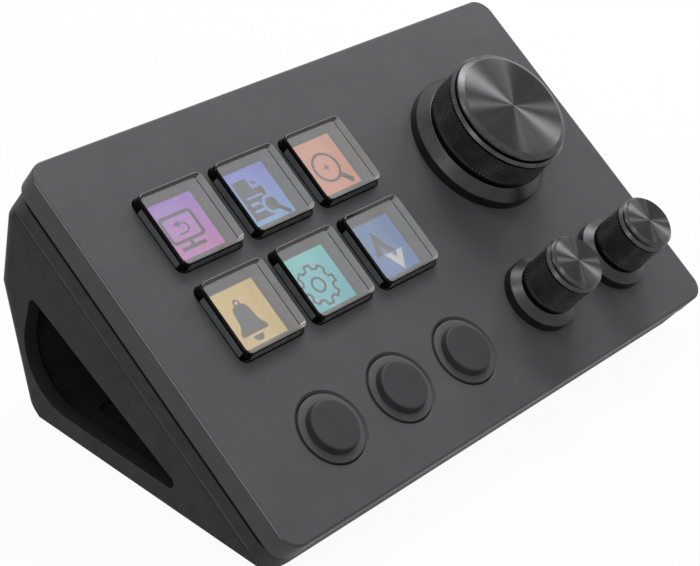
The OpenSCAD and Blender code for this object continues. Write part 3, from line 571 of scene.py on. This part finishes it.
class Artwork:
    # flat shapes in thin layers over a lit field, which is layer 0
    def __init__(self):
        self.bm = bmesh.new()
        self.thick = pictureLook["thick"]

    def lie(self, x, y, layer, turn=0.0, size=(1, 1)):
        level = pictureLook["level"] + (layer + 0.5) * self.thick
        return (Matrix.Translation((x, y, level)) @ Matrix.Rotation(turn, 4, "Z")
                @ Matrix.Diagonal((size[0], size[1], self.thick, 1)))

    def coat(self, verts, coat):
        for face in {f for v in verts for f in v.link_faces}:
            face.material_index = coat

    def block(self, x0, x1, y0, y1, layer=1, coat=darkCoat):
        lie = self.lie((x0 + x1) / 2, (y0 + y1) / 2, layer, size=(x1 - x0, y1 - y0))
        self.coat(bmesh.ops.create_cube(self.bm, size=1, matrix=lie)["verts"], coat)

    def dot(self, x, y, r, layer=1, coat=darkCoat, segments=40):
        lie = self.lie(x, y, layer, size=(r, r))
        made = bmesh.ops.create_cone(self.bm, cap_ends=True, segments=segments, radius1=1, radius2=1,
                                     depth=1, matrix=lie)
        self.coat(made["verts"], coat)

    def stroke(self, points, width, closed=False, layer=1, coat=darkCoat):
        ends = points[1:] + points[:1] if closed else points[1:]
        for (x0, y0), (x1, y1) in zip(points, ends):
            lie = self.lie((x0 + x1) / 2, (y0 + y1) / 2, layer, math.atan2(y1 - y0, x1 - x0),
                           (math.hypot(x1 - x0, y1 - y0), width))
            self.coat(bmesh.ops.create_cube(self.bm, size=1, matrix=lie)["verts"], coat)
        for x, y in points if closed else points[1:-1]:
            self.dot(x, y, width / 2, layer, coat, segments=12)

    def area(self, points, layer=1, coat=darkCoat):
        low = pictureLook["level"] + layer * self.thick
        self.coat(extrudeFace(self.bm, [(x, y, low) for x, y in points], (0, 0, self.thick)), coat)


def arc(x, y, r, start, end, steps=16):
    turns = [math.radians(start + (end - start) * i / steps) for i in range(steps + 1)]
    return [(x + r * math.cos(a), y + r * math.sin(a)) for a in turns]


def roundedPath(x0, x1, y0, y1, r):
    return (arc(x1 - r, y1 - r, r, 0, 90, 5) + arc(x0 + r, y1 - r, r, 90, 180, 5)
            + arc(x0 + r, y0 + r, r, 180, 270, 5) + arc(x1 - r, y0 + r, r, 270, 360, 5))


def drawMonitor(art):
    art.stroke(roundedPath(-3.45, 4.25, -2.15, 3.35, 0.7), width=0.7, closed=True)
    art.block(-0.1, 0.8, -3.4, -2.3)
    art.block(-2.6, 3.5, -4.1, -3.3)
    art.area([(-1.2, 1.4), (0.3, 0.65), (0.3, 2.15)])
    art.stroke([(0.2, 1.4)] + arc(0.75, 0.35, 1.05, 90, -90) + [(-1.0, -0.7)], width=0.35)


def drawPage(art):
    art.area([(-3, 4.5), (0.8, 4.5), (0.8, 2.0), (3.3, 2.0), (3.3, -4.5), (-3, -4.5)])
    art.area([(1.4, 3.9), (1.4, 2.8), (2.9, 2.8)])
    for end, low, high in ((2.3, 0.1, 0.6), (0.5, -1.5, -0.8), (0.5, -3.0, -2.4)):
        art.block(-1.9, end, low, high, layer=2, coat=litCoat)
    x, y = 2.8, -2.3
    art.dot(x, y, 2.2, layer=2, coat=litCoat)
    art.dot(x, y, 1.5, layer=3)
    art.stroke([(3.6, -3.15), (5.9, -5.3)], width=0.9, layer=3)


def drawLoupe(art):
    art.stroke(arc(1.1, 0, 3.2, 0, 345, 23), width=0.6, closed=True)
    art.block(0.3, 1.9, -0.17, 0.17)
    art.block(0.93, 1.27, -0.8, 0.8)
    art.stroke([(3.3, -2.4), (5.5, -4.7)], width=1.2)


def drawBell(art):
    half = [(0.9, 2.5), (1.6, 2.1), (1.95, 1.4), (2.1, 0.1), (2.3, -1.2),
            (2.7, -2.1), (3.3, -2.8), (3.3, -3.7)]
    middle = 0.5
    art.area([(middle + x, y) for x, y in half] + [(middle - x, y) for x, y in reversed(half)])
    art.stroke(arc(0.45, 2.9, 0.6, 0, 340, 17), width=0.4, closed=True)
    art.area(arc(0.55, -4.2, 1.25, 180, 360))


def drawGear(art):
    x, y, teeth, line = 0.4, -0.9, 8, 0.5
    # radius and turn in degrees of a tooth's four corners
    corners = ((4.4, -9), (4.4, 9), (3.5, 14), (3.5, 31))
    outline = []
    for tooth in range(teeth):
        for r, turn in corners:
            angle = tooth * 360 // teeth + turn
            outline += arc(x, y, r, angle, angle, 1)[:1]
    art.stroke(outline, line, closed=True)
    art.stroke(arc(x, y, 1.5, 0, 345, 23), line, closed=True)


def drawChevrons(art):
    art.area([(-2.25, -1.4), (0.2, 4.0), (3.0, -1.4), (1.1, -1.4), (0.38, 1.0), (-0.35, -1.4)])
    lower = [(-0.1, -1.5), (1.6, -1.5), (2.4, -3.0), (3.4, -1.5), (5.0, -1.5), (2.4, -5.75)]
    art.area(lower, layer=2, coat=paleCoat)


drawings = (drawMonitor, drawPage, drawLoupe, drawBell, drawGear, drawChevrons)


def modelPicture(number, place):
    w, d = pictureLook["size"]
    x, y = pictureLook["shift"][(number - 1) // len(keyLook["columns"])]
    art = Artwork()
    art.block(x - w / 2, x + w / 2, y - d / 2, y + d / 2, layer=0, coat=litCoat)
    drawings[number - 1](art)
    shiftTo(art.bm, place)
    edges = (place[1] + y - d / 2, place[1] + y + d / 2)
    field = litFinish(f"field{number}", pictureLook["tones"][number - 1], *edges)
    pale = litFinish(f"pale{number}", pictureLook["pale"], *edges)
    finishPiece(art.bm, f"picture{number}", "base", [field, "screen", pale])


for number, place in enumerate(keyPlaces, 1):
    modelPicture(number, place)
print("pictures laid")


# side walls of the shell

sideWall = {
    # where the upper edge of a side window starts, as y and z from the plate's front top edge
    "start": (25.3, -4.7), "slope": 26.2,
    # the part above that edge: centre along and out from it, radius, and its two ends in degrees
    "bow": (35.16, -3.48, 13.0, 15.53, 164.47), "steps": 32, "outer": 65.942, "inner": 62.95, "roof": 0.65,
}


def extrudeOutline(bm, points, start, end):
    # points lie along and out from the window's upper edge; the solid runs from start to end in x
    startY, startZ = sideWall["start"]
    turn = math.radians(sideWall["slope"])
    outline = []
    for along, out in points:
        y = startY + along * math.cos(turn) - out * math.sin(turn)
        z = startZ + along * math.sin(turn) + out * math.cos(turn)
        outline.append((start, y, z))
    extrudeFace(bm, outline, (end - start, 0, 0))


def modelWallFill():
    look = sideWall
    along, out, r, first, last = look["bow"]
    inner, outer, steps = look["inner"], look["outer"], look["steps"]
    bow = arc(along, out, r, first, last, steps)
    bm = bmesh.new()
    for side in (-1, 1):
        extrudeOutline(bm, bow, side * inner, side * outer)
    # roof over the same span, from wall to wall
    roof = bow + arc(along, out, r - look["roof"], last, first, steps)
    extrudeOutline(bm, roof, -inner, inner)
    upright = onPlate @ plateTurn.inverted()
    finishPiece(bm, "wallFill", "base", ["shell"], place=upright)


modelWallFill()


# dial and knobs

smallKnob = {
    "grip": 6.3, "low": 3.9, "bore": 4.4, "ceiling": 5.5, "hub": 0, "neck": 5.62, "disc": 6.02, "face": 5.37,
    "diamonds": 46, "rows": 24, "band": (4.7, 12.2), "discSteps": 96,
}
knobs = {
    "dial": {
        "node": "dial", "at": (34.87, 52.33), "grip": 13.95, "low": 4.8, "bore": 12.1, "ceiling": 11.57,
        "hub": 5.0, "neck": 12.57, "disc": 13.17, "face": 11.82, "diamonds": 104, "rows": 20,
        "band": (5.75, 12.1), "discSteps": 144,
    },
    "left_knob": {"node": "left", "at": (21.96, 17.47), **smallKnob},
    "right_knob": {"node": "right", "at": (47.78, 17.47), **smallKnob},
}
knobLevels = {"rim": 13.0, "neck": 13.5, "discEdge": 14.0, "top": 14.57, "shaftTop": 12.0}
gripLook = {
    "cut": 0.3, "chamfer": 0.6, "shaft": 3.03, "hubRise": 0.8, "slack": 0.01,
    # how far in from the radius and up from the bottom the lower edge's points lie
    "foot": ((0.25, 0.0), (0.06, 0.2), (0.0, 0.5)),
}


def modelGrip(body, look):
    r, low = look["grip"], look["low"]
    bandLow, bandHigh = look["band"]
    rim, neck, shaftTop = knobLevels["rim"], knobLevels["neck"], knobLevels["shaftTop"]
    chamfer, shaft, slack = gripLook["chamfer"], gripLook["shaft"], gripLook["slack"]
    pitch = (bandHigh - bandLow) / look["rows"]
    profile = [(look["bore"], low)] + [(r - cut, low + rise) for cut, rise in gripLook["foot"]]
    profile += [(r, bandLow + i * pitch) for i in range(look["rows"] + 1)]
    profile += [(r, rim - chamfer), (r - chamfer, rim), (look["neck"], rim), (look["neck"], neck), (0, neck)]
    inside = [(0, shaftTop), (shaft, shaftTop)]
    if look["hub"]:
        hubLow = low + gripLook["hubRise"]
        inside += [(shaft, hubLow), (look["hub"], hubLow), (look["hub"], look["ceiling"])]
    else:
        inside += [(shaft, look["ceiling"])]
    inside += [(look["bore"], look["ceiling"]), (look["bore"], low)]
    bm = bmesh.new()
    columns = 2 * look["diamonds"]
    spinProfile(bm, profile, columns)
    spinProfile(bm, inside, columns)
    # every other lattice point sinks, and the valleys between them are creased
    valleys = []
    for v in bm.verts:
        row = (v.co.z - bandLow) / pitch
        if abs(v.co.xy.length - r) > slack or row < 0.5 or row > look["rows"] - 0.5:
            continue
        column = round(math.atan2(v.co.y, v.co.x) / (2 * math.pi) * columns)
        if (column + round(row)) % 2 == 0:
            v.co.xy *= (r - gripLook["cut"]) / r
            valleys.append(v)
    bmesh.ops.connect_verts(bm, verts=valleys)
    for face in bm.faces:
        face.material_index = int(rim - chamfer < face.calc_center_median().z < rim - slack)
    shiftTo(bm, look["at"])
    finishPiece(bm, f"{look['node']}GripKnurled", body, ["grip", "brightMetal"],
                [f"{look['node']}_grip"], sharp=30)


spunLook = {
    "rough": 0.42, "grainTurn": 0.25, "rings": (3.0, 260.0, 1.0), "ringDetail": 2.0, "ringShare": 0.12,
    "tones": ("3a3a3b", "6e6e6f"), "depth": 0.002, "strength": 0.5,
    # direction on the disc in degrees, keenness and strength of each painted highlight streak, drawn in the
    # lighter tone
    "paintedGlints": ((113.9, 18, 0.75), (-22.4, 90, 0.6), (58.6, 120, 0.45)),
}


def spunMetalAndPaintedGlints():
    # lathe-turned face: fine rings that follow the piece's own map, and highlight streaks painted into its
    # colour across them
    look = spunLook
    finish = Finish("spunMetalAndPaintedGlints", look["rough"], 1.0)
    finish.set("Anisotropic", 1.0)
    finish.set("Anisotropic Rotation", look["grainTurn"])
    wrap = finish.add("Tangent", direction_type="UV_MAP", uv_map="turned")
    finish.join(wrap.outputs["Tangent"], finish.shader.inputs["Tangent"])
    flat = finish.add("UVMap", uv_map="turned")
    pull = finish.add("Mapping", Scale=look["rings"])
    finish.join(flat.outputs["UV"], pull.inputs["Vector"])
    rings = finish.add("TexNoise", Scale=1.0, Detail=look["ringDetail"])
    finish.join(pull.outputs["Vector"], rings.inputs["Vector"])
    parts = finish.add("SeparateXYZ")
    finish.join(flat.outputs["UV"], parts.inputs["Vector"])
    total = finish.maths(rings.outputs["Fac"], look["ringShare"])
    for centre, keen, share in look["paintedGlints"]:
        # painted highlight: lighter where the grain lies across this direction, on both sides of the axis
        turn = finish.maths(parts.outputs["X"], 2 * math.pi, -2 * math.pi * centre / 360)
        wave = finish.maths(finish.maths(turn, operation="COSINE"), operation="ABSOLUTE")
        total = finish.maths(finish.maths(wave, keen, operation="POWER"), share, total)
    finish.tint(total, *look["tones"], 0.0, 1.0)
    finish.relief(rings.outputs["Fac"], look["depth"], look["strength"])
    return finish.material


finishes["spunMetalAndPaintedGlints"] = spunMetalAndPaintedGlints()


def mapTurned(bm, reach):
    # u runs round the axis and v out from it; a face across the seam keeps its turns together
    nearAxis, halfTurn = 0.001, 0.5
    layer = bm.loops.layers.uv.new("turned")
    for face in bm.faces:
        turns = [math.atan2(c.vert.co.y, c.vert.co.x) / (2 * math.pi) % 1 for c in face.loops]
        onAxis = [c.vert.co.xy.length < nearAxis for c in face.loops]
        rest = [t for t, axis in zip(turns, onAxis) if not axis]
        if max(rest) - min(rest) > halfTurn:
            turns = [t + 1 if t < halfTurn else t for t in turns]
            rest = [t + 1 if t < halfTurn else t for t in rest]
        for corner, turn, axis in zip(face.loops, turns, onAxis):
            corner[layer].uv = (sum(rest) / len(rest) if axis else turn, corner.vert.co.xy.length / reach)


discLook = {
    "lowEdge": 0.1, "rimDrop": 0.06, "rimIn": 0.08, "bevelOut": 0.08, "bevelDrop": 0.03, "faceIn": 0.05,
    "plainDrop": 0.016, "rings": (0.8, 0.6, 0.4, 0.2, 0.08),
}


def modelDisc(body, look):
    edge, face = look["disc"], look["face"]
    top, bottom, rim = knobLevels["top"], knobLevels["neck"], knobLevels["discEdge"]
    lowEdge = discLook["lowEdge"]
    profile = [(0, bottom), (edge - lowEdge, bottom), (edge, bottom + lowEdge),
               (edge, rim - discLook["rimDrop"]), (edge - discLook["rimIn"], rim),
               (face + discLook["bevelOut"], top - discLook["bevelDrop"]), (face - discLook["faceIn"], top)]
    profile += [(face * share, top) for share in discLook["rings"]] + [(0, top)]
    bm = bmesh.new()
    spinProfile(bm, profile, look["discSteps"])
    mapTurned(bm, edge)
    for side in bm.faces:
        side.material_index = int(rim < side.calc_center_median().z < top - discLook["plainDrop"])
    shiftTo(bm, look["at"])
    finishPiece(bm, f"{look['node']}DiscTurned", body, ["spunMetalAndPaintedGlints", "brightMetal"],
                [f"{look['node']}_disc"], sharp=20)


for body, look in knobs.items():
    modelGrip(body, look)
    modelDisc(body, look)
print("dial and knobs modelled")


# buttons

buttonLook = {
    "row": 15.3, "disc": 6.95, "foot": 5.44, "top": 5.12, "height": 1.45, "round": 0.35, "flange": 8.0,
    "flangeLow": -2.9, "flangeHigh": -2.2, "stem": 2.0, "stemLow": -3.3, "steps": 96, "roundSteps": 5,
    # how far in and at what level the disc's eased edge has its points, and the rings on the cap's top
    "ease": ((0, -0.15), (0.04, -0.04), (0.15, 0.0)), "rings": (0.85, 0.5), "seam": 0.001,
}


def modelButton(number, x):
    look = buttonLook
    stem, flange, disc, foot = look["stem"], look["flange"], look["disc"], look["foot"]
    low, high = look["flangeLow"], look["flangeHigh"]
    top, h, rounding = look["top"], look["height"], look["round"]
    profile = [(0, look["stemLow"]), (stem, look["stemLow"]), (stem, low), (flange, low), (flange, high),
               (disc, high)]
    profile += [(disc - cut, level) for cut, level in look["ease"]] + [(foot, 0.0)]
    # the cap's upper edge is rolled over
    profile += softened((top, h - rounding), (top - rounding, h), look["roundSteps"])
    profile += [(top * share, h) for share in look["rings"]] + [(0, h)]
    bm = bmesh.new()
    spinProfile(bm, profile, look["steps"])
    for face in bm.faces:
        face.material_index = int(face.calc_center_median().z > look["seam"])
    shiftTo(bm, (x, look["row"]))
    finishPiece(bm, f"buttonCap{number}", f"button_{number}", ["plate", "button"],
                [f"button_{number}"])


for number, x in enumerate(keyLook["columns"], 1):
    modelButton(number, x)
print("buttons modelled")


# floor, light and camera

studio = {
    "floorTone": "a0a0a0", "floorSeen": "ffffff", "floorShare": 0.95, "floorSize": 6, "floorDrop": 0.0001,
    "dome": 0.2, "aim": (0, 0, 0.03),
    "lamps": [
        # name, direction from the object, distance, width, height, radiance
        ("backBox", (0.437, 0.321, 0.840), 0.9, 0.42, 0.42, 7.8),
        ("leftBox", (-0.69, -0.35, 0.63), 0.9, 0.26, 0.26, 3.6),
        ("overhead", (-0.15, -0.01, 0.99), 0.9, 0.14, 0.14, 14.0),
        ("rightBox", (0.84, 0.18, 0.52), 0.9, 0.14, 0.14, 14.0),
    ],
}


def backgroundShare(tree):
    # 1 for what the camera, a mirror or clear plastic sees
    path = addNode(tree, "LightPath")
    total = path.outputs["Is Camera Ray"]
    for output in ("Is Glossy Ray", "Is Transmission Ray"):
        more = addNode(tree, "Math", operation="MAXIMUM")
        tree.links.new(total, more.inputs[0])
        tree.links.new(path.outputs[output], more.inputs[1])
        total = more.outputs["Value"]
    return total


def paleFloor():
    # a pale floor that is seen as nearly white and keeps its shadow
    material = bpy.data.materials.new("paleFloor")
    material.use_nodes = True
    tree = material.node_tree
    tree.nodes.clear()
    join = tree.links.new
    seen = backgroundShare(tree)
    tone = addNode(tree, "Mix", data_type="RGBA")
    tone.inputs["A"].default_value = paint(studio["floorTone"])
    tone.inputs["B"].default_value = paint(studio["floorSeen"])
    join(seen, tone.inputs["Factor"])
    plain = addNode(tree, "BsdfDiffuse")
    join(tone.outputs["Result"], plain.inputs["Color"])
    white = addNode(tree, "Emission", Color=(1, 1, 1, 1))
    share = addNode(tree, "Math", operation="MULTIPLY")
    share.inputs[1].default_value = studio["floorShare"]
    join(seen, share.inputs[0])
    mix = addNode(tree, "MixShader")
    join(share.outputs["Value"], mix.inputs["Fac"])
    join(plain.outputs["BSDF"], mix.inputs[1])
    join(white.outputs["Emission"], mix.inputs[2])
    # from below the floor is out of the way
    side = addNode(tree, "NewGeometry")
    clear = addNode(tree, "BsdfTransparent")
    last = addNode(tree, "MixShader")
    join(side.outputs["Backfacing"], last.inputs["Fac"])
    join(mix.outputs["Shader"], last.inputs[1])
    join(clear.outputs["BSDF"], last.inputs[2])
    join(last.outputs["Shader"], addNode(tree, "OutputMaterial").inputs["Surface"])
    return material


def layFloor():
    mesh = bpy.data.meshes.new("floor")
    bm = bmesh.new()
    lie = Matrix.Translation((0, 0, -studio["floorDrop"]))
    bmesh.ops.create_grid(bm, x_segments=1, y_segments=1, size=studio["floorSize"], matrix=lie)
    bm.to_mesh(mesh)
    bm.free()
    mesh.materials.append(paleFloor())
    floor = bpy.data.objects.new("floor", mesh)
    scene.collection.objects.link(floor)


def lightDome():
    world = bpy.data.worlds.new("studio")
    scene.world = world
    world.use_nodes = True
    tree = world.node_tree
    ground = tree.nodes["Background"]
    ground.inputs["Color"].default_value = (1, 1, 1, 1)
    level = addNode(tree, "MapRange", **{"To Min": studio["dome"], "To Max": 1.0})
    tree.links.new(backgroundShare(tree), level.inputs["Value"])
    tree.links.new(level.outputs["Result"], ground.inputs["Strength"])


def hangLamp(name, way, distance, width, height, radiance):
    data = bpy.data.lights.new(name, "AREA")
    data.shape = "RECTANGLE"
    data.size, data.size_y = width, height
    data.energy = radiance * math.pi * width * height
    lamp = bpy.data.objects.new(name, data)
    scene.collection.objects.link(lamp)
    way = Vector(way).normalized()
    lamp.location = way * distance + Vector(studio["aim"])
    lamp.rotation_euler = (-way).to_track_quat("-Z", "Y").to_euler()


cameraLie = {
    "place": (-0.258285, -0.189769, 0.212553), "right": (0.65487, -0.74729, 0.11269),
    "down": (-0.32967, -0.41666, -0.84718), "lens": 94.838, "sensor": 36.0, "near": 0.01,
}


def setCamera():
    data = bpy.data.cameras.new("camera")
    data.lens = cameraLie["lens"]
    data.sensor_width = cameraLie["sensor"]
    data.clip_start = cameraLie["near"]
    camera = bpy.data.objects.new("camera", data)
    scene.collection.objects.link(camera)
    right = Vector(cameraLie["right"]).normalized()
    back = right.cross(-Vector(cameraLie["down"])).normalized()
    up = back.cross(right)
    turn = Matrix((right, up, back)).transposed().to_4x4()
    camera.matrix_world = Matrix.Translation(cameraLie["place"]) @ turn
    scene.camera = camera


layFloor()
lightDome()
for lamp in studio["lamps"]:
    hangLamp(*lamp)
setCamera()
scene.view_settings.view_transform = "Standard"
print("studio set")
